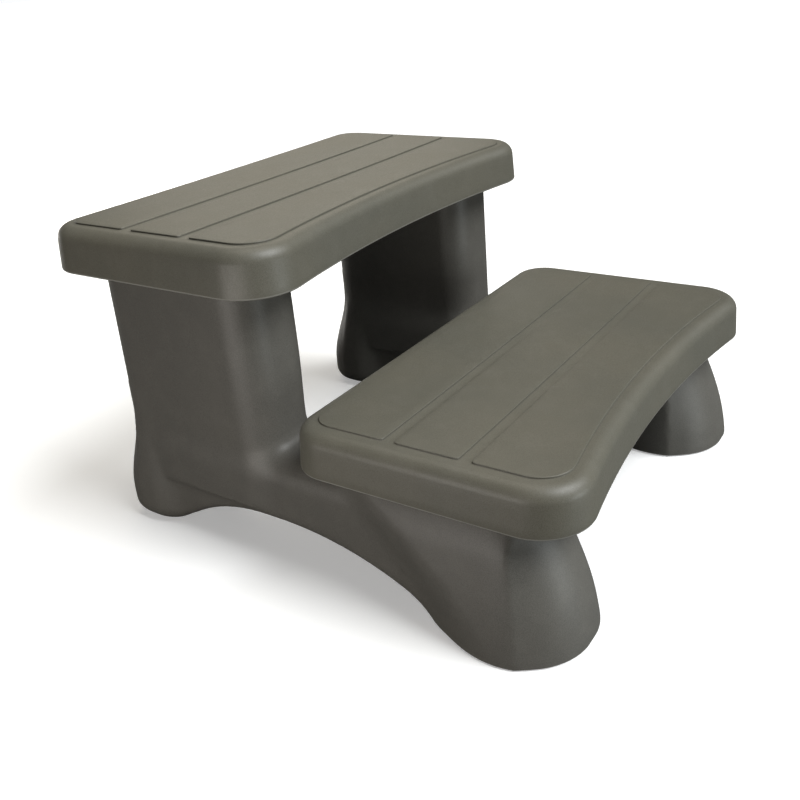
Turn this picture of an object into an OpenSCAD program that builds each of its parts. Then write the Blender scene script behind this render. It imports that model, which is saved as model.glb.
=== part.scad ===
// Two-step spa steps: two bowed treads on a pair of mirrored hollow leg frames.
// Millimetres, +Z up. X runs along the treads, +Y is the tall rear side.
// The origin is on the floor at the middle of the footprint.

/* [Overall] */
// Height of the upper tread above the floor
total_height = 408; // [400:1:416]
// Height from the lower tread to the upper tread
rise = 195; // [188:1:202]
// Front-to-back distance from the lower tread to the upper tread
run = 345; // [338:1:352]

/* [Treads] */
// Length of a tread along X, at its bottom edge
tread_length = 635; // [620:1:650]
// Thickness of a tread, including its raised pads
tread_height = 56; // [52:1:60]
// Distance from the tread's datum line back to its straight rear edge
tread_rear = 180; // [174:1:186]
// Distance from the datum line forward to the middle of the bowed edge
tread_front = 145.5; // [140:0.5:151]
// Radius of the bowed front edge
bow_radius = 1550; // [1300:10:1900]
// Plan radius of the two front corners
front_corner_r = 60; // [54:1:68]
// Plan radius of the two rear corners
rear_corner_r = 50; // [45:1:56]
// Radius of the edge between the top and the sides
top_edge_r = 16; // [12:1:18]
// Radius of the bottom edge
lip_r = 3; // [2:0.5:4]
// How far the sides lean out from top to bottom
draft = 4; // [2:0.5:6]
// Wall thickness of a tread
tread_wall = 4; // [3:0.5:5]
// Height of the raised tread pads
pad_height = 2; // [1:0.5:3]
// Width of the channels between the pads
pad_gap = 14; // [10:1:18]
// Margin from the ends of a tread to its pads
pad_end_margin = 27.5; // [26:0.5:32]
// Margin from the bowed front edge to the front pad
pad_front_margin = 23.5; // [22:0.5:26]
// Distance from the datum line back to the rear edge of the pads
pad_rear = 159; // [155:1:163]
// Width of the middle pad
middle_pad_width = 78; // [70:1:84]

/* [Leg frames] */
// Distance from the middle of the steps to the middle of each leg frame
leg_x = 241; // [238:1:244]
// How much further apart the front feet stand than the middle, each side
toe_out = 5.5; // [0:0.5:8]
// Half width of the rear column
column_half = 55; // [53:1:57]
// Plan radius of the rear column's corners
column_corner_r = 41; // [36:1:44]
// How far the rear foot flares out beyond its column, each side
foot_flare = 10.5; // [8:0.5:14]
// How far the rear foot flares out behind its column
heel_flare = 19; // [16:0.5:22]
// Radius under the edge of the rear foot
sole_r = 24; // [20:0.5:28]
// Half width of the front leg under the tread
front_leg_top_half = 49; // [46:1:52]
// Half width of the front foot on the floor
front_foot_half = 85; // [80:1:88]
// Height of the arch between the feet
arch_height = 60.5; // [56:0.5:64]
// Wall thickness of a leg frame
leg_wall = 5; // [4:0.5:6]
// Grid pitch of the leg's outer skin: smaller is finer
skin_pitch = 16; // [14:1:18]

/* [Fastenings] */
// Distance between the front and rear bolts of a tread
bolt_pitch = 188; // [184:1:190]
// Radius of the tread bolts
bolt_r = 4; // [3:0.5:4]
// Radius of the wells that the bolts go up through
well_r = 12; // [11:0.5:13]

/* [Hidden] */
$fn = 48;

leg_colour = "#56524b";
tread_colour = "#6b695c";

upper_y = 165.5;                      // datum line of the upper tread
lower_y = upper_y - run;              // datum line of the lower tread
upper_under = total_height - tread_height;
lower_under = upper_under - rise;
body_height = tread_height - pad_height;
bolt_mid = 5;                         // middle of the bolt pattern, from the datum line
bolt_ys = [bolt_mid - bolt_pitch / 2, bolt_mid + bolt_pitch / 2];
upper_well_ys = [for (y = bolt_ys) upper_y + y];
lower_well_ys = [for (y = bolt_ys) lower_y + y];

over = 1;                             // how far a cut runs on past the face it opens
fit_gap = 0.1;

// ---- fastening sizes ----
shelf = 12;                           // solid plastic above each well
tube_wall = 4;                        // plastic round each well
insert_r = 7;
insert_length = 22;
insert_start = 1;                     // set back from the tread's underside
boss_wall = 5;                        // plastic round each insert
boss_cover = 6;                       // and over its end
bolt_clearance = 0.5;
bolt_tip_gap = 2;                     // from a bolt's tip to the end of its insert
washer_r = 10;
washer_height = 2;
head_height = 5.5;
head_flats = 13;

// ---- foot pads and plugs ----
sole_z = 2;                           // the leg soles stand this far off the floor
pad_disc_r = 21;
pad_disc_height = 6;
pad_disc_chamfer = 1.5;
spigot_height = 20;
plug_height = 8;
plug_floor = 2;
plug_wall = 3;
rear_plug_z = 66;
front_plug_z = 52;

// =====================  treads  =====================

corner_steps = 10;
bow_steps = 18;
lip_steps = 3;
edge_steps = 6;

pad_mid_y = 6;                        // middle of the middle pad, from the datum line
pocket_pitch = 70;
pocket_reach = 140;                   // from the middle of the tread to the last pockets
pocket_ys = [-70, 75];
pocket_r = 20;                        // at the underside
pocket_end_r = 14;                    // and under the top skin
needle_y = 2.5;
needle_r = 4;
drain_r = 4;
drain_back = 40;                      // from the crown of the arch forward to the drain hole

// Arc of points about c, from angle a to angle b
function arc(c, r, a, b, steps) =
    [for (i = [0:steps]) c + r * [cos(a + (b - a) * i / steps), sin(a + (b - a) * i / steps)]];

bow_centre = [0, -tread_front - bow_radius];

// Closed outline of a tread, moved in by inset and by a further shorten at each end. It runs
// counter-clockwise from the middle of the rear edge, from where every other point is in plain
// sight across the tread. The front corners are arcs that run smoothly into the bow.
function tread_plan(inset, rear = tread_rear, shorten = 0) =
    let (half = tread_length / 2 - shorten - inset)
    let (front_r = front_corner_r - inset)
    let (rear_r = rear_corner_r - inset)
    let (back = rear - inset - rear_r)
    let (x = half - front_r, reach = bow_radius + front_corner_r)
    let (y = bow_centre[1] + sqrt(reach * reach - x * x))
    let (swing = atan2(y - bow_centre[1], x))
    let (bow = arc(bow_centre, bow_radius + inset, 180 - swing, swing, bow_steps))
    concat(
        [[0, rear - inset]],
        arc([-half + rear_r, back], rear_r, 90, 180, corner_steps),
        arc([-x, y], front_r, 180, 360 - swing, corner_steps),
        [for (i = [1:bow_steps - 1]) bow[i]],
        arc([x, y], front_r, swing - 180, 0, corner_steps),
        arc([half - rear_r, back], rear_r, 0, 90, corner_steps)
    );

// Solid through a stack of outlines, each [height, list of 2D points]. Its flat ends are fans
// from the first point of their outline, which has to see all the others.
module loft(layers) {
    n = len(layers[0][1]);
    m = len(layers);
    points = [for (layer = layers) for (p = layer[1]) [p[0], p[1], layer[0]]];
    sides = [for (k = [0:m - 2]) for (i = [0:n - 1])
        let (a = k * n + i, b = k * n + (i + 1) % n)
        for (face = [[a, a + n, b + n], [a, b + n, b]]) face];
    bottom = [for (i = [1:n - 2]) [0, i, i + 1]];
    last = (m - 1) * n;
    top = [for (i = [1:n - 2]) [last, last + i + 1, last + i]];
    polyhedron(points, concat(bottom, top, sides), convexity = 4);
}

// How far in from the bottom outline the tread's side stands at height z
function lean(z) = draft * z / body_height;

// Quarter round of radius r, as steps in from each of the two faces that it joins
function quarter(r, steps) =
    [for (i = [0:steps]) r * [1 - cos(90 * i / steps), 1 - sin(90 * i / steps)]];

module tread_skin() {
    loft(concat(
        [for (q = quarter(lip_r, lip_steps)) [q[0], tread_plan(q[1] + lean(q[0]))]],
        [for (q = quarter(top_edge_r, edge_steps))
            let (z = body_height - q[1]) [z, tread_plan(q[0] + lean(z))]]
    ));
}

module tread_hollow() {
    top = body_height - tread_wall;
    loft(concat(
        [[tread_wall, tread_plan(tread_wall)]],
        [for (q = quarter(top_edge_r - tread_wall, lip_steps))
            let (z = top - q[1]) [z, tread_plan(tread_wall + q[0] + lean(z))]]
    ));
}

module tread_pads() {
    beyond = tread_length;
    gap_start = middle_pad_width / 2;
    gap_end = gap_start + pad_gap;
    outline = tread_plan(pad_front_margin, pad_rear + pad_front_margin,
        pad_end_margin - pad_front_margin);
    for (band = [[-beyond, -gap_end], [-gap_start, gap_start], [gap_end, beyond]])
        intersection() {
            translate([0, 0, body_height - over])
                linear_extrude(pad_height + over)
                    polygon(outline);
            translate([-beyond, pad_mid_y + band[0], 0])
                cube([2 * beyond, band[1] - band[0], 2 * tread_height]);
        }
}

// Places its children at the four bolt positions of a tread
module at_bolts() {
    for (x = [-leg_x, leg_x])
        for (y = bolt_ys)
            translate([x, y, 0])
                children();
}

// Pockets that weld the underside to the top skin between the leg frames
module at_pockets() {
    for (x = [-pocket_reach:pocket_pitch:pocket_reach])
        for (y = pocket_ys)
            translate([x, y, 0])
                children();
}

module tread() {
    pocket_top = body_height - 2 * tread_wall;
    difference() {
        union() {
            tread_skin();
            tread_pads();
        }
        difference() {
            tread_hollow();
            at_bolts()
                cylinder(r = insert_r + boss_wall, h = insert_start + insert_length + boss_cover);
            at_pockets()
                cylinder(r1 = pocket_r + tread_wall, r2 = pocket_end_r + tread_wall, h = body_height);
        }
        at_pockets()
            translate([0, 0, -over])
                cylinder(r1 = pocket_r, r2 = pocket_end_r, h = pocket_top + over);
        at_bolts()
            translate([0, 0, -over])
                cylinder(r = bolt_r + bolt_clearance, h = insert_start + 2 * over);
        at_bolts()
            translate([0, 0, insert_start])
                cylinder(r = insert_r, h = insert_length + over);
        // Blow-moulding needle hole
        translate([0, needle_y, -over])
            cylinder(r = needle_r, h = tread_wall + 2 * over);
    }
}

// =====================  leg frames  =====================

// Smooth blends of distance fields
function blend(a, b, k) =
    let (h = max(k - abs(a - b), 0) / k)
    min(a, b) - h * h * k / 4;
function rounded_box(x, y, a, b, r) =
    let (qx = abs(x) - a + r, qy = abs(y) - b + r)
    norm([max(qx, 0), max(qy, 0)]) + min(max(qx, qy), 0) - r;
function round_meet(a, b, r) =
    norm([max(a + r, 0), max(b + r, 0)]) + min(max(a + r, b + r), 0) - r;
function ease(t) = let (c = min(max(t, 0), 1)) c * c * (3 - 2 * c);
function mix(a, b, t) = a + (b - a) * t;
function clamp(v, low, high) = min(max(v, low), high);

cap_over = 20;                        // the field runs on past the flat tops and soles,
cap_under = 16;                       // which are then cut flat
trim = 0.6;                           // least depth that the cut takes off the rear sole
blend_r = 20;                         // blend between the column and the bridge
front_blend_r = 50;                   // and between the bridge and the front leg
toe_reach = 270;                      // distance from the middle at which toe_out is reached

column_back_low = 298.5;              // rear face of the column, carried down to the floor
column_back_high = 293;               // and at the upper tread
column_front_low = 42;                // its front face, in the same way
column_front_high = 49.5;
column_end_z = 80;                    // the column ends here, inside the rear foot

waist_z = 165;                        // height of the waist above the rear foot
waist_depth = 2;                      // how far the sides are drawn in there
waist_spread = 55;

foot_flare_z = 156;                   // the rear foot flares out from this height down
foot_flare_drop = 115;                // and has its full size this far below
foot_front = 217;
foot_end_z = 200;                     // it ends here, inside the column

leg_front_high = -290;                // front and rear faces of the front leg, at the lower tread
leg_rear_high = -54;
leg_front_low = -344;                 // and on the floor
leg_rear_low = -185;
leg_flare = 1.6;                      // exponent of the flare between them
leg_roundness = 0.96;                 // plan corner radius over the leg's half width

arch_crown_y = 52;
arch_rear_reach = 178;                // from the crown of the arch back to the rear foot
arch_front_reach = 231;               // and forward to the front leg
arch_curve = 2.3;                     // exponent of the arch
arch_edge_r = 12;                     // radius between the arch and the sides
bridge_top = 148;
bridge_top_edge_r = 34;               // and between the sides and the top of the bridge
bridge_inset = 2;                     // how much narrower than the column, each side
bridge_half = column_half - bridge_inset;
bridge_rear = 268;                    // the bridge ends inside the column
bridge_front = -262;                  // and inside the front leg

field_half = 108;                     // the space that the leg's field is sampled in
field_front = -368;
field_rear = 340;
flat_split_y = 28;                    // between the lower tread and the column
inner_pitch = skin_pitch + 4;         // the inner skin can be coarser

// Distance across the leg from its own centre line: positive is outward
function across(p) = p[0] - leg_x + toe_out * clamp(p[1] / toe_reach, -1, 1);

// How far the sides of the column and rear foot are drawn in at height z
function waist(z) = waist_depth * exp(-pow((z - waist_z) / waist_spread, 2));

// Rear column: a rounded oblong that narrows slightly towards the upper tread
function column_back(z) = mix(column_back_low, column_back_high, z / upper_under);
function column_front(z) = mix(column_front_low, column_front_high, z / upper_under);
function column_field(u, y, z) =
    let (w = waist(z), back = column_back(z), front = column_front(z))
    let (half = (back - front) / 2)
    max(
        rounded_box(u - w, y - front - half, column_half - w, half, column_corner_r),
        z - upper_under - cap_over,
        column_end_z - z
    );

// Rear foot: spreads from the column into a rounded sole
function rear_foot_field(u, y, z) =
    let (w = waist(z), share = ease((foot_flare_z - z) / foot_flare_drop))
    let (half = (column_back(z) + heel_flare * share - foot_front) / 2)
    max(
        rounded_box(u - w, y - foot_front - half, column_half - w + foot_flare * share, half,
            min(column_corner_r, half)),
        z - foot_end_z
    );

// Front leg: a flared bell from the floor to the lower tread
function front_leg_field(u, y, z) =
    let (s = 1 - pow(clamp(z / lower_under, 0, 1.1), leg_flare))
    let (side = mix(front_leg_top_half, front_foot_half, s))
    let (front = mix(leg_front_high, leg_front_low, s), back = mix(leg_rear_high, leg_rear_low, s))
    let (half = (back - front) / 2)
    max(
        rounded_box(u, y - front - half, side, half, min(side * leg_roundness, half)),
        z - lower_under - cap_over
    );

// Bridge: a rounded slab over the arch, from the rear foot to the front leg
function bridge_field(u, y, z) =
    let (reach = y > arch_crown_y ? arch_rear_reach : arch_front_reach)
    let (t = min(abs(y - arch_crown_y) / reach, 1.5))
    let (under = arch_height * (1 - pow(t, arch_curve)))
    let (slope = arch_height * arch_curve * pow(t, arch_curve - 1) / reach)
    max(
        round_meet((under - z) / norm([1, slope]), abs(u) - bridge_half, arch_edge_r),
        round_meet(z - bridge_top, abs(u) - bridge_half, bridge_top_edge_r),
        y - bridge_rear,
        bridge_front - y
    );

function leg_field(p) =
    let (u = across(p), y = p[1], z = p[2])
    let (column = min(column_field(u, y, z), rear_foot_field(u, y, z)))
    let (bridged = blend(column, bridge_field(u, y, z), blend_r))
    let (whole = blend(bridged, front_leg_field(u, y, z), front_blend_r))
    y > 0 ? round_meet(whole, sole_z - trim - z, sole_r) : max(whole, -cap_under - z);

// Moves p onto the surface where the field equals level
function field_slope(p, e = 0.5) = [
    leg_field(p + [e, 0, 0]) - leg_field(p - [e, 0, 0]),
    leg_field(p + [0, e, 0]) - leg_field(p - [0, e, 0]),
    leg_field(p + [0, 0, e]) - leg_field(p - [0, 0, e])
] / (2 * e);
function settle(p, level, tries = 2) =
    tries == 0 ? p :
    let (g = field_slope(p))
    settle(p - g * (leg_field(p) - level) / max(g * g, 0.25), level, tries - 1);

// Closed skin where the leg field equals level. One point is set in each grid cell that the
// surface crosses, and one square joins the four cells round each grid edge that it crosses.
module leg_skin(level, pitch) {
    low = [leg_x - field_half, field_front, -cap_under - pitch];
    high = [leg_x + field_half, field_rear, upper_under + cap_over + pitch];
    nx = ceil((high[0] - low[0]) / pitch) + 1;
    ny = ceil((high[1] - low[1]) / pitch) + 1;
    nz = ceil((high[2] - low[2]) / pitch) + 1;
    value = [for (k = [0:nz - 1]) for (j = [0:ny - 1]) for (i = [0:nx - 1])
        leg_field(low + pitch * [i, j, k]) - level];
    corner_step = [for (c = [0:1]) for (b = [0:1]) for (a = [0:1]) a + nx * (b + ny * c)];
    corner_at = [for (c = [0:1]) for (b = [0:1]) for (a = [0:1]) [a, b, c]];
    pairs = [for (m = [0:7]) for (n = [m + 1:1:7]) if (norm(corner_at[m] - corner_at[n]) == 1) [m, n]];
    cell = function(i, j, k) i + nx * (j + ny * k);
    crossed = [for (k = [0:nz - 1]) for (j = [0:ny - 1]) for (i = [0:nx - 1])
        i == nx - 1 || j == ny - 1 || k == nz - 1 ? 0 :
        let (v = [for (s = corner_step) value[cell(i, j, k) + s]])
        min(v) < 0 && max(v) >= 0 ? 1 : 0];
    order = [for (i = 0, seen = 0; i < len(crossed); seen = seen + crossed[i], i = i + 1) seen];
    points = [for (k = [0:nz - 2]) for (j = [0:ny - 2]) for (i = [0:nx - 2])
        if (crossed[cell(i, j, k)] == 1)
            let (v = [for (s = corner_step) value[cell(i, j, k) + s]])
            let (cuts = [for (e = pairs) if ((v[e[0]] < 0) != (v[e[1]] < 0))
                mix(corner_at[e[0]], corner_at[e[1]], v[e[0]] / (v[e[0]] - v[e[1]]))])
            let (mean = [for (c = cuts) 1] * cuts / len(cuts))
            settle(low + pitch * ([i, j, k] + mean), level)];
    square = function(a, b, c, d, inward)
        inward ? [[a, c, b], [a, d, c]] : [[a, b, c], [a, c, d]];
    steps = [[1, nx, nx * ny], [nx, nx * ny, 1], [nx * ny, 1, nx]];
    faces = [for (k = [1:nz - 2]) for (j = [1:ny - 2]) for (i = [1:nx - 2])
        let (c = cell(i, j, k))
        for (s = steps)
            if ((value[c] < 0) != (value[c + s[0]] < 0))
                for (f = square(order[c - s[1] - s[2]], order[c - s[2]], order[c], order[c - s[1]],
                        value[c] < 0)) f];
    polyhedron(points, faces, convexity = 8);
}

// Space above the flat leg tops and under the flat soles, grown by margin into the leg
module beyond_flats(margin) {
    beyond = tread_length;
    translate([0, -beyond, upper_under - margin])
        cube([beyond, 2 * beyond, beyond]);
    translate([0, -beyond, lower_under - margin])
        cube([beyond, beyond + flat_split_y, beyond]);
    translate([0, -beyond, sole_z + margin - beyond])
        cube([beyond, 2 * beyond, beyond]);
}

// Places its children at the four wells of a leg, with $top as the height of the flat above
module at_wells() {
    for (y = upper_well_ys)
        let ($top = upper_under)
            translate([leg_x, y, 0])
                children();
    for (y = lower_well_ys)
        let ($top = lower_under)
            translate([leg_x, y, 0])
                children();
}

module at_foot_pads() {
    for (y = [upper_well_ys[1], lower_well_ys[0]])
        translate([leg_x, y, 0])
            children();
}

module leg_hollow() {
    difference() {
        leg_skin(-leg_wall, inner_pitch);
        beyond_flats(leg_wall);
        at_wells()
            cylinder(r = well_r + tube_wall, h = $top);
        at_foot_pads()
            cylinder(r = pad_disc_r + leg_wall, h = pad_disc_height + leg_wall);
    }
}

// The right-hand leg frame
module leg_frame() {
    difference() {
        leg_skin(0, skin_pitch);
        beyond_flats(0);
        leg_hollow();
        at_wells()
            translate([0, 0, -over])
                cylinder(r = well_r, h = $top - shelf + over);
        at_wells()
            cylinder(r = bolt_r + bolt_clearance, h = $top + over);
        at_foot_pads()
            cylinder(r = pad_disc_r + fit_gap, h = pad_disc_height);
        // Drain hole near the crown of the arch
        translate([leg_x, arch_crown_y - drain_back, 0])
            cylinder(r = drain_r, h = arch_height + 2 * leg_wall);
    }
}

// =====================  fastenings, pads and plugs  =====================

module insert() {
    difference() {
        translate([0, 0, insert_start])
            cylinder(r = insert_r, h = insert_length);
        cylinder(r = bolt_r + fit_gap, h = insert_start + insert_length + over);
    }
}

module bolt() {
    under_head = -shelf - washer_height;
    tip = insert_start + insert_length - bolt_tip_gap;
    translate([0, 0, under_head])
        cylinder(r = bolt_r, h = tip - under_head);
    translate([0, 0, under_head - head_height])
        cylinder(r = head_flats / sqrt(3), h = head_height, $fn = 6);
}

module washer() {
    translate([0, 0, -shelf - washer_height])
        difference() {
            cylinder(r = washer_r, h = washer_height);
            translate([0, 0, -over])
                cylinder(r = bolt_r + bolt_clearance, h = washer_height + 2 * over);
        }
}

module foot_pad(side, y) {
    color("#23221f")
        translate([side * leg_x, y, 0]) {
            cylinder(r1 = pad_disc_r - pad_disc_chamfer, r2 = pad_disc_r, h = pad_disc_chamfer);
            translate([0, 0, pad_disc_chamfer])
                cylinder(r = pad_disc_r, h = pad_disc_height - pad_disc_chamfer);
            translate([0, 0, pad_disc_height])
                cylinder(r = well_r - fit_gap, h = spigot_height - pad_disc_height);
        }
}

module well_plug(side, y, z) {
    color(leg_colour)
        translate([side * leg_x, y, z])
            difference() {
                cylinder(r = well_r - fit_gap, h = plug_height);
                translate([0, 0, plug_floor])
                    cylinder(r = well_r - plug_wall, h = plug_height);
            }
}

module right_leg_frame() {
    color(leg_colour)
        leg_frame();
}

module left_leg_frame() {
    color(leg_colour)
        mirror([1, 0, 0])
            leg_frame();
}

module upper_tread() {
    color(tread_colour)
        translate([0, upper_y, upper_under])
            tread();
}

module lower_tread() {
    color(tread_colour)
        translate([0, lower_y, lower_under])
            tread();
}

module upper_tread_inserts() {
    color("#b08d3c")
        translate([0, upper_y, upper_under])
            at_bolts()
                insert();
}

module lower_tread_inserts() {
    color("#b08d3c")
        translate([0, lower_y, lower_under])
            at_bolts()
                insert();
}

module upper_tread_bolts() {
    color("silver")
        translate([0, upper_y, upper_under])
            at_bolts()
                bolt();
}

module lower_tread_bolts() {
    color("silver")
        translate([0, lower_y, lower_under])
            at_bolts()
                bolt();
}

module upper_tread_washers() {
    color("gainsboro")
        translate([0, upper_y, upper_under])
            at_bolts()
                washer();
}

module lower_tread_washers() {
    color("gainsboro")
        translate([0, lower_y, lower_under])
            at_bolts()
                washer();
}

module left_front_foot_pad() foot_pad(-1, lower_well_ys[0]);
module right_front_foot_pad() foot_pad(1, lower_well_ys[0]);
module left_rear_foot_pad() foot_pad(-1, upper_well_ys[1]);
module right_rear_foot_pad() foot_pad(1, upper_well_ys[1]);
module left_front_well_plug() well_plug(-1, lower_well_ys[1], front_plug_z);
module right_front_well_plug() well_plug(1, lower_well_ys[1], front_plug_z);
module left_rear_well_plug() well_plug(-1, upper_well_ys[0], rear_plug_z);
module right_rear_well_plug() well_plug(1, upper_well_ys[0], rear_plug_z);

left_leg_frame();
right_leg_frame();
upper_tread();
lower_tread();
upper_tread_inserts();
lower_tread_inserts();
upper_tread_bolts();
lower_tread_bolts();
upper_tread_washers();
lower_tread_washers();
left_front_foot_pad();
right_front_foot_pad();
left_rear_foot_pad();
right_rear_foot_pad();
left_front_well_plug();
right_front_well_plug();
left_rear_well_plug();
right_rear_well_plug();
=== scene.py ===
"""Spa steps: satin moulded treads on hollow leg frames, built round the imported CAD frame."""

import math

import bmesh
import bpy
import numpy as np
from mathutils import Matrix, Vector
from mathutils.geometry import delaunay_2d_cdt


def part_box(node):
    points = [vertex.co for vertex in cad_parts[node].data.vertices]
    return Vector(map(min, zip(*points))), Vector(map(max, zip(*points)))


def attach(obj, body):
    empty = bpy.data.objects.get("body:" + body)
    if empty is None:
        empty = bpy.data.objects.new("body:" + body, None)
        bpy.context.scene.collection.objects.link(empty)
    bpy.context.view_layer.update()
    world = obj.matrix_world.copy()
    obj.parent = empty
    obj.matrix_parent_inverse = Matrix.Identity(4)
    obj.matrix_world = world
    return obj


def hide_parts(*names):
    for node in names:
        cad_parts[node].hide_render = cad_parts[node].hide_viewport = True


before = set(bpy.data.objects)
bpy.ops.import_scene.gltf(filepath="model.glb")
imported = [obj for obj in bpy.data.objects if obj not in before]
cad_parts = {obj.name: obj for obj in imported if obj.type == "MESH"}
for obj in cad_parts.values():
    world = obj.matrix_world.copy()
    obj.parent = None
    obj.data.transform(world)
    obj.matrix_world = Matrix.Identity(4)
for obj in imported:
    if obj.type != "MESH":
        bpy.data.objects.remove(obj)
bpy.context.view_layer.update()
MM = 0.001

# ---------------------------------------------------------------- sizes, in millimetres


def node_box(node):
    """Lowest and highest corner of a CAD node."""
    low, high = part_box(node)
    return np.array(low) / MM, np.array(high) / MM


TREAD_LENGTH, TREAD_HEIGHT = 635.0, 56.0
TREAD_REAR, TREAD_FRONT = 180.0, 145.5
BOW_R, FRONT_R, REAR_R = 1550.0, 60.0, 50.0
BOW_Y = -TREAD_FRONT - BOW_R
TOP_EDGE_R, LIP_R, DRAFT = 16.0, 3.0, 4.0
PAD_HEIGHT, PAD_GAP, PAD_REAR, PAD_MID, PAD_MID_Y = 2.0, 14.0, 159.0, 78.0, 6.0
PAD_END_MARGIN, PAD_FRONT_MARGIN = 27.5, 23.5
BODY_HEIGHT = TREAD_HEIGHT - PAD_HEIGHT
DISH = 1.6  # how far the middle of a tread has sunk along its length
FAR = 400.0  # past the edge of a tread, from anywhere on it
BEYOND = 500.0  # past the whole of the steps
PAD_MIDDLE = (PAD_MID_Y - PAD_MID / 2, PAD_MID_Y + PAD_MID / 2)
PAD_BANDS = ((-FAR, PAD_MIDDLE[0] - PAD_GAP), PAD_MIDDLE, (PAD_MIDDLE[1] + PAD_GAP, FAR))
PAD_FOOT = [(-0.35, 0.0), (0.0, 0.12)]  # inset and height of the fillet round a pad
PAD_STEP_IN, PAD_ROUND, PAD_CORNER = 0.25, 0.85, 4.0

LEG_X, TOE_OUT, TOE_REACH = 241.0, 5.5, 270.0
COLUMN_HALF, COLUMN_R = 55.0, 41.0
UPPER_UNDER, LOWER_UNDER = node_box("upper_tread")[0][2], node_box("lower_tread")[0][2]
LIP_LEAN = DRAFT * LIP_R / BODY_HEIGHT
UPPER_Y = node_box("upper_tread")[1][1] - TREAD_REAR + LIP_LEAN
LOWER_Y = node_box("lower_tread")[1][1] - TREAD_REAR + LIP_LEAN
SOLE_Z = 2.0
OVER = 1.0  # how far a cut runs on past the face it opens
BOLT_YS = (-89.0, 99.0)
WELL_R, BOLT_R, BOLT_CLEARANCE, SHELF = 12.0, 4.0, 0.5, 12.0
INSERT_R, INSERT_START, INSERT_LENGTH = 7.0, 1.0, 22.0
PAD_DISC_R, PAD_DISC_HEIGHT, FIT_GAP = 21.0, 6.0, 0.1
POCKET_XS, POCKET_YS, POCKET_FLOOR = range(-140, 141, 70), (-70, 75), 8.0
NEEDLE_R, NEEDLE_Y, NEEDLE_DEPTH = 4.0, 2.5, 12.0
DRAIN_R, DRAIN_BACK, DRAIN_DEPTH = 4.0, 40.0, 10.0

CAP_OVER, CAP_UNDER, TRIM, SOLE_R = 20.0, 16.0, 0.6, 24.0
BLEND_R, FRONT_BLEND_R = 20.0, 50.0
WAIST_Z, WAIST_DEPTH, WAIST_SPREAD = 165.0, 2.0, 55.0
COLUMN_BACK, COLUMN_FRONT, COLUMN_END_Z = (298.5, 293.0), (42.0, 49.5), 80.0  # on the floor, at the tread
FOOT_FLARE, HEEL_FLARE, FLARE_Z, FLARE_DROP = 10.5, 19.0, 156.0, 115.0
FOOT_FRONT, FOOT_END_Z = 217.0, 200.0
FRONT_SIDE = (49.0, 85.0)  # at the tread, on the floor
FRONT_FACE, FRONT_BACK = (-290.0, -344.0), (-54.0, -185.0)
FRONT_FLARE, FRONT_ROUNDNESS = 1.6, 0.96
ARCH_CROWN_Y, ARCH_HEIGHT, ARCH_CURVE = 52.0, 60.5, 2.3
ARCH_REAR, ARCH_FRONT, ARCH_EDGE_R = 178.0, 231.0, 12.0
BRIDGE_TOP, BRIDGE_EDGE_R, BRIDGE_INSET = 148.0, 34.0, 2.0
BRIDGE_REAR, BRIDGE_FRONT = 268.0, -262.0
FLAT_SPLIT_Y = 28.0  # between the lower tread and the column
FIELD_HALF, FIELD_FRONT, FIELD_REAR, FIELD_ABOVE = 106.0, -364.0, 336.0, 76.0  # where the skin is looked for
SKIN_PITCH = 5.0
TREAD_CREASE, LEG_CREASE = 28, 34  # angles, in degrees, above which an edge is shaded sharp

# ---------------------------------------------------------------- leg frames: a distance field


def ease(t):
    """0 to 1, level at both ends."""
    t = np.clip(t, 0, 1)
    return t * t * (3 - 2 * t)


def mix(a, b, t):
    return a + (b - a) * t


def blend(a, b, k):
    """Distance from either of two shapes, melted together over k."""
    h = np.maximum(k - np.abs(a - b), 0) / k
    return np.minimum(a, b) - h * h * k / 4


def rounded_box(x, y, a, b, r):
    """Distance from a rectangle of half sizes a and b with corners of radius r."""
    qx, qy = np.abs(x) - a + r, np.abs(y) - b + r
    return np.hypot(np.maximum(qx, 0), np.maximum(qy, 0)) + np.minimum(np.maximum(qx, qy), 0) - r


def round_meet(a, b, r):
    """Distance from what two shapes share, with the edge between them rounded by r."""
    qa, qb = a + r, b + r
    return np.hypot(np.maximum(qa, 0), np.maximum(qb, 0)) + np.minimum(np.maximum(qa, qb), 0) - r


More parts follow.
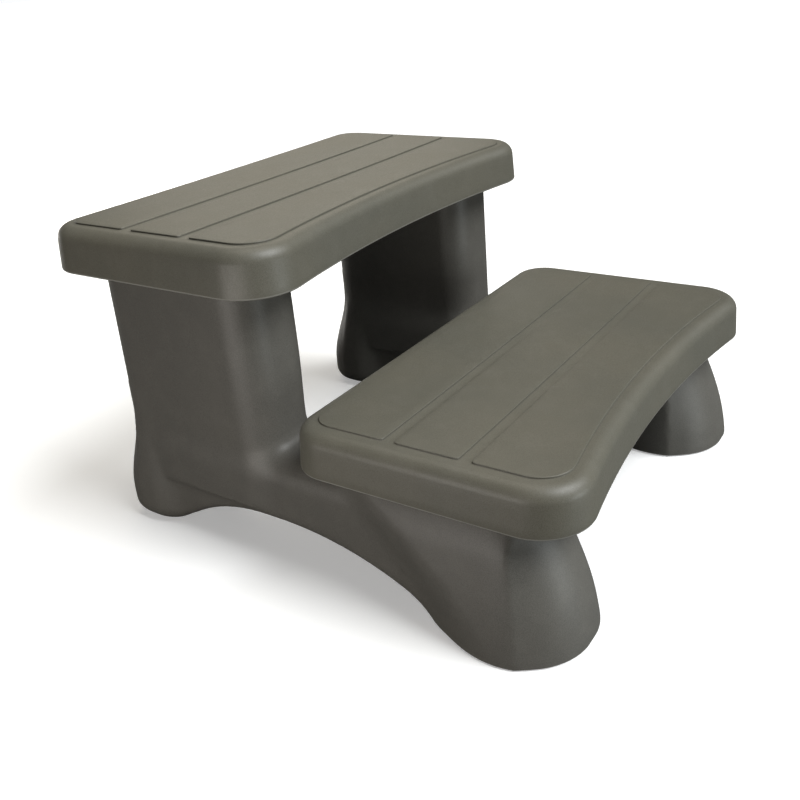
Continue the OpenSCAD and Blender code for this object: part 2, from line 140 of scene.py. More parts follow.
def leg_field(p):
    """Distance from the right-hand leg frame's outer skin, in millimetres: below 0 inside."""
    x, y, z = p[..., 0], p[..., 1], p[..., 2]
    u = x - LEG_X + TOE_OUT * np.clip(y / TOE_REACH, -1, 1)

    pinch = WAIST_DEPTH * np.exp(-(((z - WAIST_Z) / WAIST_SPREAD) ** 2))
    back, front = mix(*COLUMN_BACK, z / UPPER_UNDER), mix(*COLUMN_FRONT, z / UPPER_UNDER)
    half = (back - front) / 2
    column = rounded_box(u - pinch, y - front - half, COLUMN_HALF - pinch, half, COLUMN_R)
    column = np.maximum(np.maximum(column, z - UPPER_UNDER - CAP_OVER), COLUMN_END_Z - z)

    share = ease((FLARE_Z - z) / FLARE_DROP)
    side, half = COLUMN_HALF - pinch + FOOT_FLARE * share, (back + HEEL_FLARE * share - FOOT_FRONT) / 2
    foot = rounded_box(u - pinch, y - FOOT_FRONT - half, side, half, np.minimum(COLUMN_R, half))
    column = np.minimum(column, np.maximum(foot, z - FOOT_END_Z))

    s = 1 - np.clip(z / LOWER_UNDER, 0, 1.1) ** FRONT_FLARE
    side, low, high = mix(*FRONT_SIDE, s), mix(*FRONT_FACE, s), mix(*FRONT_BACK, s)
    half = (high - low) / 2
    leg = rounded_box(u, y - low - half, side, half, np.minimum(side * FRONT_ROUNDNESS, half))
    leg = np.maximum(leg, z - LOWER_UNDER - CAP_OVER)

    reach = np.where(y > ARCH_CROWN_Y, ARCH_REAR, ARCH_FRONT)
    t = np.minimum(np.abs(y - ARCH_CROWN_Y) / reach, 1.5)
    slope = ARCH_HEIGHT * ARCH_CURVE * t ** (ARCH_CURVE - 1) / reach
    under = (ARCH_HEIGHT * (1 - t**ARCH_CURVE) - z) / np.hypot(1, slope)
    side = np.abs(u) - COLUMN_HALF + BRIDGE_INSET
    bridge = np.maximum(round_meet(under, side, ARCH_EDGE_R), round_meet(z - BRIDGE_TOP, side, BRIDGE_EDGE_R))
    bridge = np.maximum(np.maximum(bridge, y - BRIDGE_REAR), BRIDGE_FRONT - y)

    whole = blend(blend(column, bridge, BLEND_R), leg, FRONT_BLEND_R)
    rear = round_meet(whole, SOLE_Z - TRIM - z, SOLE_R)
    return np.where(y > 0, rear, np.maximum(whole, -CAP_UNDER - z))


def settle(points, tries=4):
    """Moves points onto the surface where the field is 0."""
    e = 0.25
    for _ in range(tries):
        g = [(leg_field(points + d) - leg_field(points - d)) / (2 * e) for d in np.eye(3) * e]
        g = np.stack(g, axis=-1)
        points = points - g * (leg_field(points) / np.maximum((g * g).sum(-1), 0.25))[:, None]
    return points


def leg_skin(pitch):
    """Closed skin of the field: one point a crossed cell, one square round each crossed edge."""
    low = np.array([LEG_X - FIELD_HALF, FIELD_FRONT, -CAP_UNDER - pitch])
    span = np.array([2 * FIELD_HALF, FIELD_REAR - FIELD_FRONT, UPPER_UNDER + FIELD_ABOVE])
    count = np.ceil(span / pitch).astype(int) + 1
    axes = [low[i] + pitch * np.arange(count[i]) for i in range(3)]
    grid = np.stack(np.meshgrid(*axes, indexing="ij"), -1)
    value = leg_field(grid)
    inside = value < 0
    corners = [(a, b, c) for c in (0, 1) for b in (0, 1) for a in (0, 1)]
    n = np.array(inside.shape) - 1

    def corner(array, c):
        return array[c[0] : c[0] + n[0], c[1] : c[1] + n[1], c[2] : c[2] + n[2]]

    filled = sum(corner(inside, c).astype(int) for c in corners)
    crossed = (filled > 0) & (filled < 8)
    total, hits = np.zeros(tuple(n) + (3,)), np.zeros(tuple(n))
    for i, a in enumerate(corners):
        for b in corners[i + 1 :]:
            if sum(abs(s - t) for s, t in zip(a, b)) != 1:
                continue
            va, vb = corner(value, a), corner(value, b)
            cut = (va < 0) != (vb < 0)
            t = np.where(cut, va / np.where(cut, va - vb, 1), 0)
            total += np.where(cut[..., None], np.array(a) + (np.array(b) - np.array(a)) * t[..., None], 0)
            hits += cut
    order = np.full(tuple(n), -1)
    cells = np.argwhere(crossed)
    order[crossed] = np.arange(len(cells))
    points = low + pitch * (cells + total[crossed] / hits[crossed][:, None])
    points = settle(points)

    faces = []
    for axis in range(3):
        b, c = (axis + 1) % 3, (axis + 2) % 3
        step = np.zeros(3, int)
        step[axis] = 1
        here = inside[tuple(slice(0, -1) if i == axis else slice(None) for i in range(3))]
        there = inside[tuple(slice(1, None) if i == axis else slice(None) for i in range(3))]
        for k in np.argwhere(here != there):
            kb, kc = k.copy(), k.copy()
            kb[b] -= 1
            kc[c] -= 1
            kbc = kb.copy()
            kbc[c] -= 1
            quad = [order[tuple(q)] for q in (kbc, kc, k, kb)]
            faces.append(quad if here[tuple(k)] else quad[::-1])
    return points, faces


# ---------------------------------------------------------------- mesh helpers


def object_of(name, points, faces):
    """Mesh object from points in millimetres."""
    mesh = bpy.data.meshes.new(name)
    points = [tuple(map(float, p)) for p in np.asarray(points) * MM]
    mesh.from_pydata(points, [], [tuple(map(int, f)) for f in faces])
    mesh.validate()
    obj = bpy.data.objects.new(name, mesh)
    bpy.context.collection.objects.link(obj)
    return obj


def lathe(profile, steps, at):
    """Points and faces of a closed round solid, whose profile starts and ends on its axis, bottom first."""
    points, faces = [(at[0], at[1], at[2] + profile[0][1])], []
    rings = profile[1:-1]
    for r, z in rings:
        points += [
            (at[0] + r * math.cos(a), at[1] + r * math.sin(a), at[2] + z)
            for a in (2 * math.pi * i / steps for i in range(steps))
        ]
    points.append((at[0], at[1], at[2] + profile[-1][1]))
    for i in range(steps):
        j = (i + 1) % steps
        faces.append((0, 1 + j, 1 + i))
        for k in range(len(rings) - 1):
            a, b = 1 + k * steps, 1 + (k + 1) * steps
            faces.append((a + i, a + j, b + j, b + i))
        last = 1 + (len(rings) - 1) * steps
        faces.append((last + i, last + j, len(points) - 1))
    return points, faces


def joined(shapes):
    """One list of points and faces from several."""
    points, faces = [], []
    for p, f in shapes:
        base = len(points)
        points += list(p)
        faces += [tuple(i + base for i in face) for face in f]
    return points, faces


def block(low, high):
    """Points and faces of a box between two corners."""
    x, y, z = zip(low, high)
    points = [(a, b, c) for c in z for b in y for a in x]
    faces = [(0, 2, 3, 1), (4, 5, 7, 6), (0, 1, 5, 4), (2, 6, 7, 3), (0, 4, 6, 2), (1, 3, 7, 5)]
    return points, faces


def cylinder(r, low, high, x, y, steps=48):
    """Points and faces of an upright cylinder."""
    return lathe([(0, low), (r, low), (r, high), (0, high)], steps, (x, y, 0))


def cut(obj, shapes):
    """Takes each of shapes away from obj in turn, and removes the tools."""
    for points, faces in shapes:
        tool = object_of("tool", points, faces)
        mod = obj.modifiers.new("cut", "BOOLEAN")
        mod.operation, mod.solver, mod.object = "DIFFERENCE", "MANIFOLD", tool
        graph = bpy.context.evaluated_depsgraph_get()
        mesh = bpy.data.meshes.new_from_object(obj.evaluated_get(graph))
        old = obj.data
        obj.modifiers.clear()
        obj.data = mesh
        bpy.data.meshes.remove(old)
        bpy.data.objects.remove(tool)


def finish_mesh(obj, angle):
    """Drops degenerate faces and shades smooth, with sharp edges above angle."""
    bm = bmesh.new()
    bm.from_mesh(obj.data)
    bmesh.ops.dissolve_degenerate(bm, dist=1e-6, edges=bm.edges)
    for face in bm.faces:
        face.smooth = True
    limit = math.radians(angle)
    for edge in bm.edges:
        edge.smooth = not (len(edge.link_faces) == 2 and edge.calc_face_angle(0) > limit)
    open_edges = sum(1 for e in bm.edges if len(e.link_faces) != 2)
    bm.to_mesh(obj.data)
    bm.free()
    print("mesh", obj.name, len(obj.data.vertices), "points, open edges", open_edges)


# ---------------------------------------------------------------- treads


def arc(cx, cy, r, a, b, steps):
    """Points round a centre, from angle a to angle b in degrees."""
    angles = [math.radians(mix(a, b, i / steps)) for i in range(steps + 1)]
    return [(cx + r * math.cos(t), cy + r * math.sin(t)) for t in angles]


def corner_of(shorten=0.0):
    """Centre of the right-hand front corner, and the direction to it from the bow's centre, in degrees."""
    x = TREAD_LENGTH / 2 - shorten - FRONT_R
    y = BOW_Y + math.sqrt((BOW_R + FRONT_R) ** 2 - x**2)
    return x, y, math.degrees(math.atan2(y - BOW_Y, x))


def tread_plan(inset, steps=20, bow=48, straight=10):
    """Outline of a tread moved in by inset, counter-clockwise, with points along its straight sides too."""
    cx, cy, swing = corner_of()
    half, r_front, r_rear = TREAD_LENGTH / 2 - inset, FRONT_R - inset, REAR_R - inset
    back = TREAD_REAR - inset - r_rear
    parts = [
        arc(half - r_rear, back, r_rear, 0, 90, steps),
        arc(-half + r_rear, back, r_rear, 90, 180, steps),
        arc(-cx, cy, r_front, 180, 360 - swing, steps),
        arc(0, BOW_Y, BOW_R + inset, 180 - swing, swing, bow)[1:-1],
        arc(cx, cy, r_front, swing - 180, 0, steps),
    ]
    rear_side, ends = 0, (1, 4)
    out = []
    for i, part in enumerate(parts):
        out += part
        (x0, y0), (x1, y1) = part[-1], parts[(i + 1) % len(parts)][0]
        count = 4 * straight if i == rear_side else straight if i in ends else 1
        out += [(mix(x0, x1, k / count), mix(y0, y1, k / count)) for k in range(1, count)]
    return np.array(out)


def plan_distance(x, y, shorten=0.0):
    """Distance from the tread's bottom outline, shortened at each end: below 0 inside."""
    cx, cy, swing = corner_of(shorten)
    half = TREAD_LENGTH / 2 - shorten
    rear = rounded_box(x, y - TREAD_REAR + FAR / 2, half, FAR / 2, REAR_R)
    corner = np.hypot(np.abs(x) - cx, y - cy) - FRONT_R
    bow = BOW_R - np.hypot(x, y - BOW_Y)
    angle = np.degrees(np.arctan2(y - BOW_Y, np.abs(x)))
    front = np.where(angle > swing, bow, np.where(y < cy, corner, np.abs(x) - half))
    return np.maximum(rear, front)


def pad_outline(y0, y1, inset):
    """Outline of the pad between y0 and y1, found along rays from its own middle line."""
    cy = (max(y0, -TREAD_FRONT + PAD_FRONT_MARGIN) + min(y1, PAD_REAR)) / 2
    half = TREAD_LENGTH / 2 - PAD_END_MARGIN - inset

    def field(x, y):
        side = plan_distance(x, y, PAD_END_MARGIN - PAD_FRONT_MARGIN) + PAD_FRONT_MARGIN
        rear = y - PAD_REAR
        band = np.maximum(y0 - y, y - y1)
        return round_meet(side, np.maximum(rear, band), PAD_CORNER) + inset

    stations = np.linspace(-half, half, 91) * 0.94
    fan = np.radians(np.linspace(0, 180, 61)[1:-1])
    rays = [(x, 0.0, 1.0) for x in stations]
    rays += [(stations[-1], math.sin(a), math.cos(a)) for a in fan]
    rays += [(x, 0.0, -1.0) for x in stations[::-1]]
    rays += [(stations[0], -math.sin(a), -math.cos(a)) for a in fan]
    x, dx, dy = np.array(rays).T
    low, high = np.zeros(len(x)), np.full(len(x), FAR)
    for _ in range(44):
        mid = (low + high) / 2
        out = field(x + dx * mid, cy + dy * mid) >= 0
        low, high = np.where(out, low, mid), np.where(out, mid, high)
    return np.stack([x + dx * low, cy + dy * low], -1)[::-1]


def lean(z):
    """How far in from the bottom outline the tread's side stands at height z."""
    return DRAFT * z / BODY_HEIGHT


def dish(x):
    """How far the top has sunk at x."""
    return -DISH * np.clip(1 - (2 * x / TREAD_LENGTH) ** 2, 0, 1)


def inside_polygon(x, y, loop):
    """Whether each point is inside loop, by the crossings of a ray."""
    hit = np.zeros(len(x), bool)
    x0, y0 = loop[-1]
    for x1, y1 in loop:
        crosses = ((y0 > y) != (y1 > y)) & (x < (x1 - x0) * (y - y0) / (y1 - y0 + 1e-30) + x0)
        hit ^= crosses
        x0, y0 = x1, y1
    return hit


def rounding(r, steps):
    """Quarter round of radius r, as steps in from each of the two faces that it joins."""
    return [(r * (1 - math.cos(a)), r * (1 - math.sin(a))) for a in np.radians(np.linspace(0, 90, steps + 1))]


def tread_sides():
    """Points and faces from the underside up to the flat top, and the number of points in a ring."""
    lip = rounding(LIP_R, 4)
    side = [(z, 0.0) for z in np.linspace(LIP_R, BODY_HEIGHT - TOP_EDGE_R, 5)[1:-1]]
    edge = [(BODY_HEIGHT - down, inset) for inset, down in rounding(TOP_EDGE_R, 12)]
    layers = lip + side + edge
    points = []
    for z, inset in layers:
        share = max(0.0, (z - (BODY_HEIGHT - TOP_EDGE_R)) / TOP_EDGE_R)
        points += [(x, y, z + share**2 * dish(x)) for x, y in tread_plan(inset + lean(z))]
    n = len(points) // len(layers)
    faces = [tuple(range(n - 1, -1, -1))]
    for k in range(len(layers) - 1):
        for i in range(n):
            a, b = k * n + i, k * n + (i + 1) % n
            faces.append((a, b, b + n, a + n))
    return points, faces, n


def thinned(loop, least=0.25):
    """Leaves out the points of loop that are nearer than least to the last one kept."""
    keep = [0]
    for i in range(1, len(loop)):
        if np.hypot(*(loop[i] - loop[keep[-1]])) > least:
            keep.append(i)
    return loop[keep]


def grid_points(inner, outer, pitch=10.0, rim_gap=3.0, ring_gap=2.5):
    """Even points on the flat top that keep clear of the pads' edges, each with whether it is on a pad."""
    x, y = (a.ravel() for a in np.meshgrid(np.arange(-300, 301, pitch), np.arange(-160, 171, pitch)))
    clear = plan_distance(x, y) < -(TOP_EDGE_R + lean(BODY_HEIGHT) + rim_gap)
    on_pad = np.zeros(len(x), bool)
    for ring_in, ring_out in zip(inner, outer):
        hit_in, hit_out = inside_polygon(x, y, ring_in), inside_polygon(x, y, ring_out)
        away = np.hypot(x[:, None] - ring_in[None, :, 0], y[:, None] - ring_in[None, :, 1]).min(axis=1)
        clear &= ~(hit_out & ~hit_in) & (away >= ring_gap)
        on_pad |= hit_in
    return zip(x[clear], y[clear], on_pad[clear])


def tread_mesh():
    """Points and faces of a tread's closed skin, with its datum line at y 0 and its underside at z 0."""
    points, faces, n = tread_sides()
    rim = len(points) - n

    # The flat top is a triangulation that holds every ring round a pad as edges
    profile = PAD_FOOT + [(PAD_STEP_IN + a, PAD_HEIGHT - b) for a, b in rounding(PAD_ROUND, 4)]
    flat, heights = [p[:2] for p in points[rim:]], [BODY_HEIGHT] * n
    loops, rings = [range(n)], []
    for y0, y1 in PAD_BANDS:
        for inset, rise in profile:
            ring = thinned(pad_outline(y0, y1, inset))
            loops.append(range(len(flat), len(flat) + len(ring)))
            flat += [tuple(p) for p in ring]
            heights += [BODY_HEIGHT + rise] * len(ring)
            rings.append(ring)
    for x, y, on_pad in grid_points(rings[len(profile) - 1 :: len(profile)], rings[:: len(profile)]):
        flat.append((x, y))
        heights.append(TREAD_HEIGHT if on_pad else BODY_HEIGHT)
    edges = [(loop[i], loop[(i + 1) % len(loop)]) for loop in loops for i in range(len(loop))]
    verts, _, triangles, origin, _, _ = delaunay_2d_cdt([Vector(p) for p in flat], edges, [], 1, 1e-4)

    index = []
    for vert, source in zip(verts, origin):
        on_rim = [i for i in source if i < n]
        if on_rim:
            index.append(rim + on_rim[0])
            continue
        z = heights[source[0]] if source else BODY_HEIGHT
        index.append(len(points))
        points.append((vert.x, vert.y, z + dish(vert.x)))
    for triangle in triangles:
        a, b, c = (verts[i] for i in triangle)
        faces_up = (b.x - a.x) * (c.y - a.y) - (b.y - a.y) * (c.x - a.x) > 0
        face = tuple(index[i] for i in triangle)
        faces.append(face if faces_up else face[::-1])
    return points, faces


def make_tread(name, y, z):
    """Tread with its pockets, insert sockets, bolt holes and needle hole cut."""
    points, faces = tread_mesh()
    low, high = node_box(name.replace("_panel", ""))
    points = np.clip(np.array(points) + (0, y, z), low, high)
    obj = object_of(name, points, faces)
    end = BODY_HEIGHT - POCKET_FLOOR
    # Radius and height, from the mouth through the cone to its rounded end
    pocket = [(0, -OVER), (20.45, -OVER), (16, end - 6), (14, end - 1.5), (11.5, end), (0, end)]
    pockets = [lathe(pocket, 40, (px, py + y, z)) for px in POCKET_XS for py in POCKET_YS]
    bolts = [(x, y + by) for x in (-LEG_X, LEG_X) for by in BOLT_YS]
    holes = [cylinder(BOLT_R + BOLT_CLEARANCE, z - OVER, z + INSERT_START + OVER, *at) for at in bolts]
    socket = (z + INSERT_START, z + INSERT_START + INSERT_LENGTH + OVER)
    sockets = [cylinder(INSERT_R, *socket, *at) for at in bolts]
    needle = [cylinder(NEEDLE_R, z - OVER, z + NEEDLE_DEPTH, 0, y + NEEDLE_Y)]
    cut(obj, [joined(pockets + needle), joined(sockets), joined(holes)])
    finish_mesh(obj, TREAD_CREASE)
    return obj


# ---------------------------------------------------------------- legs


def make_leg(name, mirror):
    """Leg frame with its wells, bolt holes, pad recesses and drain hole cut."""
    points, faces = leg_skin(SKIN_PITCH)
    low, high = node_box("right_leg_frame")
    points[:, 0] = np.clip(points[:, 0], low[0], high[0])
    points[:, 1] = np.clip(points[:, 1], low[1], high[1])
    obj = object_of(name, points, faces)
    cut(obj, [
        block((0, -BEYOND, UPPER_UNDER), (BEYOND, BEYOND, UPPER_UNDER + BEYOND)),
        block((0, -BEYOND, LOWER_UNDER), (BEYOND, FLAT_SPLIT_Y, LOWER_UNDER + BEYOND)),
        block((0, -BEYOND, SOLE_Z - BEYOND), (BEYOND, BEYOND, SOLE_Z)),
    ])
    wells, shanks, discs = [], [], []
    for under, datum in ((UPPER_UNDER, UPPER_Y), (LOWER_UNDER, LOWER_Y)):
        for by in BOLT_YS:
            well_top = under - SHELF
            wells.append(cylinder(WELL_R, -OVER, well_top, LEG_X, datum + by))
            shank_r = BOLT_R + BOLT_CLEARANCE
            shanks.append(cylinder(shank_r, well_top - OVER, under + OVER, LEG_X, datum + by))
    for y in (UPPER_Y + BOLT_YS[1], LOWER_Y + BOLT_YS[0]):
        discs.append(cylinder(PAD_DISC_R + FIT_GAP, -OVER, PAD_DISC_HEIGHT, LEG_X, y, steps=64))
    drain = cylinder(DRAIN_R, -OVER, ARCH_HEIGHT + DRAIN_DEPTH, LEG_X, ARCH_CROWN_Y - DRAIN_BACK)
    cut(obj, [joined(wells), joined(shanks), joined(discs), drain])
    if mirror:
        obj.data.transform(Matrix.Scale(-1, 4, (1, 0, 0)))
        obj.data.flip_normals()
    finish_mesh(obj, LEG_CREASE)
    return obj


# ---------------------------------------------------------------- materials


class Nodes:
    """Short hand for building a material's node tree."""

    def __init__(self, name):
        self.material = bpy.data.materials.new(name)
        self.material.use_nodes = True
        self.tree = self.material.node_tree
        self.shader = self.tree.nodes["Principled BSDF"]
        self.coords = self.add("ShaderNodeTexCoord").outputs["Object"]

    def add(self, kind, inputs=None, **settings):
        node = self.tree.nodes.new(kind)
        for key, value in settings.items():
            setattr(node, key, value)
        for key, value in (inputs or {}).items():
            self.put(node.inputs[key], value)
        return node

    def put(self, socket, value):
        if isinstance(value, bpy.types.NodeSocket):
            self.tree.links.new(value, socket)
        else:
            socket.default_value = value

    def noise(self, scale, detail=3.0, rough=0.5, stretch=(1, 1, 1), seed=0.0):
        place = {"Vector": self.coords, "Scale": stretch, "Location": (seed, seed * 2, seed)}
        where = self.add("ShaderNodeMapping", place).outputs[0]
        settings = {"Vector": where, "Scale": scale, "Detail": detail, "Roughness": rough}
        return self.add("ShaderNodeTexNoise", settings).outputs["Fac"]

    def ramp(self, value, low, high, to_low=0.0, to_high=1.0):
        return self.add(
            "ShaderNodeMapRange",
            {"Value": value, "From Min": low, "From Max": high, "To Min": to_low, "To Max": to_high},
        ).outputs[0]

    def math(self, operation, a, b=0.0):
        node = self.add("ShaderNodeMath", operation=operation)
        self.put(node.inputs[0], a)
        self.put(node.inputs[1], b)
        return node.outputs[0]

    def blend(self, fac, a, b):
        node = self.add("ShaderNodeMix", data_type="RGBA")
        self.put(node.inputs[0], fac)
        self.put(node.inputs[6], a)
        self.put(node.inputs[7], b)
        return node.outputs[2]

    def bump(self, height, distance, strength=1.0, after=None):
        node = self.add("ShaderNodeBump", {"Height": height, "Distance": distance, "Strength": strength})
        if after is not None:
            self.put(node.inputs["Normal"], after)
        return node.outputs[0]


def moulded(name, colour, warm, rough, painted_lip_highlight_heights=()):
    """Satin moulded polyethylene: fine grain, cloudy colour, scuffed edges, painted shade in the creases.

    lips are heights, in metres, of bottom edges along which a thin pale line is painted as a highlight.
    """
    n = Nodes(name)
    clouds = n.noise(7.0, 4.0, 0.55)
    blotch = n.noise(38.0, 4.0, 0.62, seed=3.1)
    scuffs = n.noise(60.0, 5.0, 0.7, stretch=(0.35, 1, 1), seed=11.0)
    grain = n.noise(1100.0, 2.0, 0.6, seed=1.7)
    pebble = n.noise(420.0, 2.0, 0.5, seed=5.3)
    geometry = n.add("ShaderNodeNewGeometry")
    edge = n.ramp(geometry.outputs["Pointiness"], 0.515, 0.60)
    # Painted shade: ambient occlusion within 2.5 mm darkens the colour towards near black in creases and at
    # the foot of each pad's step.
    open_sky = n.add("ShaderNodeAmbientOcclusion", {"Distance": 0.0025}, samples=6, only_local=True)
    painted_crease_shade = n.ramp(open_sky.outputs["AO"], 0.92, 0.45)
    base = n.blend(n.ramp(clouds, 0.35, 0.65), colour, warm)
    base = n.blend(n.math("MULTIPLY", n.ramp(blotch, 0.45, 0.75), 0.12), base, (0.20, 0.19, 0.165, 1))
    base = n.blend(n.math("MULTIPLY", n.ramp(scuffs, 0.66, 0.78), 0.10), base, (0.26, 0.25, 0.225, 1))
    base = n.blend(n.math("MULTIPLY", edge, 0.14), base, (0.24, 0.235, 0.215, 1))
    base = n.blend(n.math("MULTIPLY", painted_crease_shade, 0.5), base, (0.018, 0.017, 0.014, 1))
    base = n.blend(n.math("MULTIPLY", n.ramp(grain, 0.42, 0.66), 0.16), base, (0.21, 0.205, 0.18, 1))
    base = n.blend(n.math("MULTIPLY", n.ramp(grain, 0.52, 0.34), 0.22), base, (0.03, 0.029, 0.024, 1))
    height = n.add("ShaderNodeSeparateXYZ", {"Vector": n.coords}).outputs["Z"]
    # Painted highlight: a thin pale line at each given bottom lip height.
    for lip in painted_lip_highlight_heights:
        away = n.math("ABSOLUTE", n.math("SUBTRACT", height, lip))
        base = n.blend(n.math("MULTIPLY", n.ramp(away, 0.0013, 0.0006), 0.7), base, (0.30, 0.295, 0.27, 1))
    n.put(n.shader.inputs["Base Color"], base)
    dull = n.ramp(pebble, 0.3, 0.7, rough - 0.03, rough + 0.05)
    dull = n.math("ADD", dull, n.ramp(clouds, 0.3, 0.7, -0.02, 0.03))
    dull = n.math("ADD", dull, n.math("MULTIPLY", n.ramp(scuffs, 0.62, 0.78), 0.08))
    n.put(n.shader.inputs["Roughness"], n.math("SUBTRACT", dull, n.math("MULTIPLY", edge, 0.05)))
    n.put(n.shader.inputs["Specular IOR Level"], 0.5)
    waves = n.bump(n.noise(14.0, 2.0, 0.4, seed=8.0), 0.0006, 0.35)
    skin = n.bump(pebble, 0.00012, 0.7, waves)
    n.put(n.shader.inputs["Normal"], n.bump(grain, 0.00006, 0.6, skin))
    return n.material


def rubber(name):
    """Matt black rubber with a little dust."""
    n = Nodes(name)
    fine = n.noise(900.0, 3.0, 0.6)
    dust = n.ramp(n.noise(60.0), 0.35, 0.7)
    n.put(n.shader.inputs["Base Color"], n.blend(dust, (0.012, 0.012, 0.012, 1), (0.03, 0.029, 0.027, 1)))
    n.put(n.shader.inputs["Roughness"], n.ramp(fine, 0.3, 0.7, 0.72, 0.88))
    n.put(n.shader.inputs["Normal"], n.bump(fine, 0.00006, 0.5))
    return n.material


def metal(name, colour, dark, rough):
    """Turned metal, with fine lines along its height."""
    n = Nodes(name)
    lines = n.noise(900.0, 2.0, 0.5, stretch=(1, 1, 0.08))
    n.put(n.shader.inputs["Metallic"], 1.0)
    n.put(n.shader.inputs["Base Color"], n.blend(n.ramp(n.noise(90.0, 3.0), 0.4, 0.75), colour, dark))
    n.put(n.shader.inputs["Roughness"], n.ramp(lines, 0.3, 0.7, rough - 0.07, rough + 0.10))
    n.put(n.shader.inputs["Normal"], n.bump(lines, 0.00004, 0.3))
    return n.material


def paint(obj, material):
    obj.data.materials.clear()
    obj.data.materials.append(material)


# Heights just above the treads' undersides where a painted highlight line runs along each bottom lip.
PAINTED_LIP_HIGHLIGHT_HEIGHTS = [(under + 1.7) * MM for under in (UPPER_UNDER, LOWER_UNDER)]
tread_plastic = moulded("tread_plastic", (0.104, 0.101, 0.080, 1), (0.114, 0.108, 0.083, 1), 0.44, PAINTED_LIP_HIGHLIGHT_HEIGHTS)
leg_plastic = moulded("leg_plastic", (0.093, 0.089, 0.079, 1), (0.103, 0.098, 0.086, 1), 0.48)
pad_rubber = rubber("pad_rubber")
steel = metal("zinc_steel", (0.62, 0.62, 0.61, 1), (0.42, 0.42, 0.41, 1), 0.34)
brass = metal("turned_brass", (0.78, 0.58, 0.26, 1), (0.55, 0.38, 0.16, 1), 0.30)

# ---------------------------------------------------------------- pieces

for name, mirror in (("right_leg_frame_skin", False), ("left_leg_frame_skin", True)):
    piece = make_leg(name, mirror)
    paint(piece, leg_plastic)
    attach(piece, "root")
    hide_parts(name.replace("_skin", ""))

for name, y, z in (("upper_tread_panel", UPPER_Y, UPPER_UNDER), ("lower_tread_panel", LOWER_Y, LOWER_UNDER)):
    piece = make_tread(name, y, z)
    paint(piece, tread_plastic)
    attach(piece, "root")
    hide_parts(name.replace("_panel", ""))

for node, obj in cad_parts.items():
    if "bolts" in node or "washers" in node:
        paint(obj, steel)
    elif "inserts" in node:
        paint(obj, brass)
    elif "foot_pad" in node:
        paint(obj, pad_rubber)
    elif "plug" in node:
        paint(obj, leg_plastic)

# ---------------------------------------------------------------- floor, light and camera


def look(at, location, roll=0.0):
    """Matrix of a light or camera at location that points at at, turned by roll."""
    back = (Vector(location) - Vector(at)).normalized()
    right = Vector((0, 0, 1)).cross(back).normalized()
    up = back.cross(right)
    r2 = right * math.cos(roll) + up * math.sin(roll)
    u2 = up * math.cos(roll) - right * math.sin(roll)
    m = Matrix((r2, u2, back)).transposed().to_4x4()
    m.translation = location
    return m


def area(name, location, at, size, power, colour):
    """Rectangular light."""
    light = bpy.data.lights.new(name, "AREA")
    light.shape, light.size, light.size_y = "RECTANGLE", size[0], size[1]
    light.energy, light.color = power, colour
    obj = bpy.data.objects.new(name, light)
    bpy.context.collection.objects.link(obj)
    obj.matrix_world = look(at, location)


def sun(name, azimuth, elevation, strength, angle, colour):
    """Light from far off: azimuth 0 is straight in front, elevation is above the floor, both in degrees."""
    light = bpy.data.lights.new(name, "SUN")
    light.energy, light.angle, light.color = strength, math.radians(angle), colour
    obj = bpy.data.objects.new(name, light)
    bpy.context.collection.objects.link(obj)
    a, e = math.radians(azimuth), math.radians(elevation)
    away = Vector((math.sin(a) * math.cos(e), -math.cos(a) * math.cos(e), math.sin(e)))
    obj.matrix_world = look((0, 0, 0), away * 5)


# The camera sees a pale floor and backdrop. All other rays see them dark, so they light the steps less
FLOOR_HALF = 30
FLOOR_GLOW = 0.3
ROOM_LIGHT = 0.045
floor_corners = [(x * FLOOR_HALF, y * FLOOR_HALF, 0) for x, y in ((-1, -1), (1, -1), (1, 1), (-1, 1))]
floor_mesh = bpy.data.meshes.new("floor")
floor_mesh.from_pydata(floor_corners, [], [(0, 1, 2, 3)])
floor = bpy.data.objects.new("floor", floor_mesh)
bpy.context.collection.objects.link(floor)
ground = Nodes("pale_floor")
seen = ground.add("ShaderNodeLightPath").outputs["Is Camera Ray"]
pale = ground.blend(ground.noise(3.0), (0.86, 0.86, 0.855, 1), (0.88, 0.88, 0.875, 1))
ground.put(ground.shader.inputs["Base Color"], ground.blend(seen, (0.11, 0.11, 0.108, 1), pale))
ground.put(ground.shader.inputs["Emission Color"], (1, 1, 1, 1))
ground.put(ground.shader.inputs["Emission Strength"], ground.math("MULTIPLY", seen, FLOOR_GLOW))
ground.put(ground.shader.inputs["Roughness"], 0.9)
ground.put(ground.shader.inputs["Specular IOR Level"], 0.1)
floor.data.materials.append(ground.material)

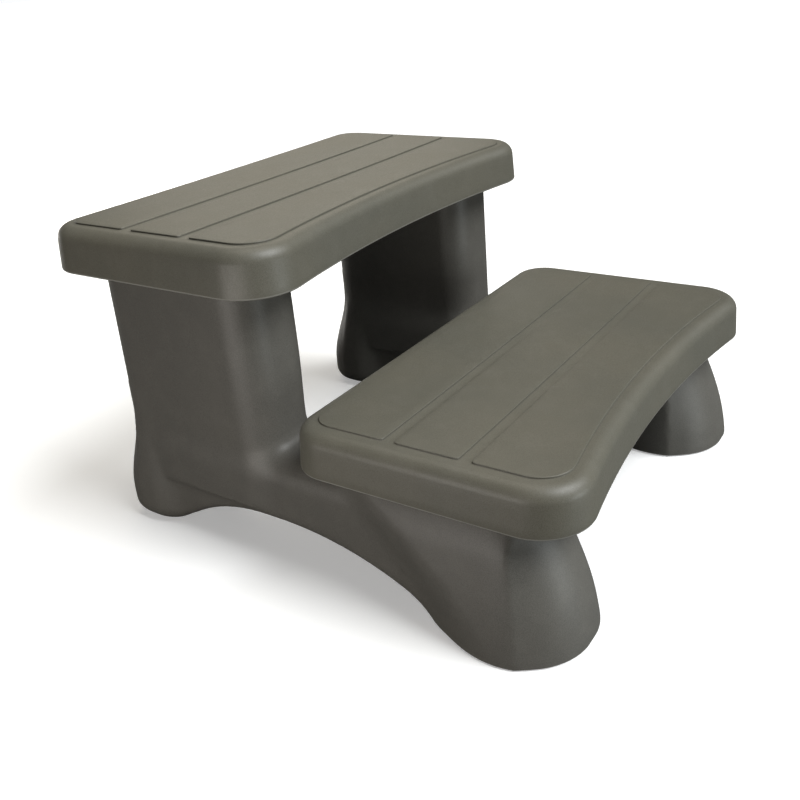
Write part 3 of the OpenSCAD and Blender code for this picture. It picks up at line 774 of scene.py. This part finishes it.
world = bpy.data.worlds.new("studio")
bpy.context.scene.world = world
world.use_nodes = True
tree = world.node_tree
seen = tree.nodes.new("ShaderNodeLightPath").outputs["Is Camera Ray"]
level = tree.nodes.new("ShaderNodeMapRange")
level.inputs["To Min"].default_value, level.inputs["To Max"].default_value = ROOM_LIGHT, 1.0
tree.links.new(seen, level.inputs["Value"])
tree.links.new(level.outputs[0], tree.nodes["Background"].inputs["Strength"])
tree.nodes["Background"].inputs["Color"].default_value = (0.98, 0.99, 1.0, 1)

sun("key", azimuth=16, elevation=52, strength=3.85, angle=42, colour=(0.97, 0.99, 1.0))
for name, location, at, size, power, colour in (
    ("sheen", (1.9, 1.7, 1.5), (0.0, 0.0, 0.35), (1.6, 1.2), 7.8, (1.0, 0.92, 0.78)),
    ("top", (0.3, 0.4, 2.6), (0.0, 0.0, 0.2), (1.6, 1.6), 17, (1.0, 0.93, 0.80)),
    ("fill", (-1.05, 0.05, 0.16), (0.0, 0.02, 0.14), (0.7, 0.3), 3.3, (1.0, 0.95, 0.90)),
    ("front", (0.0, -1.5, 0.13), (-0.2, -0.33, 0.11), (0.6, 0.22), 4.4, (0.94, 1.0, 1.0)),
    ("back", (0.5, 2.2, 0.2), (0.0, 0.2, 0.16), (1.4, 0.3), 14, (1.0, 0.97, 0.92)),
):
    area(name, location, at, size, power, colour)

SIGHT_AZ, SIGHT_EL, SIGHT_ROLL = math.radians(-55.48), math.radians(26.09), math.radians(-4.25)
EYE = Vector((-0.9725, -0.6169, 0.6706))
LENS, SENSOR = 40.96, 36.0
sight = Vector((
    math.sin(SIGHT_AZ) * math.cos(SIGHT_EL), -math.cos(SIGHT_AZ) * math.cos(SIGHT_EL), math.sin(SIGHT_EL)
))
camera = bpy.data.objects.new("camera", bpy.data.cameras.new("camera"))
bpy.context.collection.objects.link(camera)
camera.data.lens, camera.data.sensor_width = LENS, SENSOR
camera.data.clip_start = 0.01
camera.matrix_world = look(EYE - sight, EYE, SIGHT_ROLL)
bpy.context.scene.camera = camera
bpy.context.scene.view_settings.view_transform = "Standard"
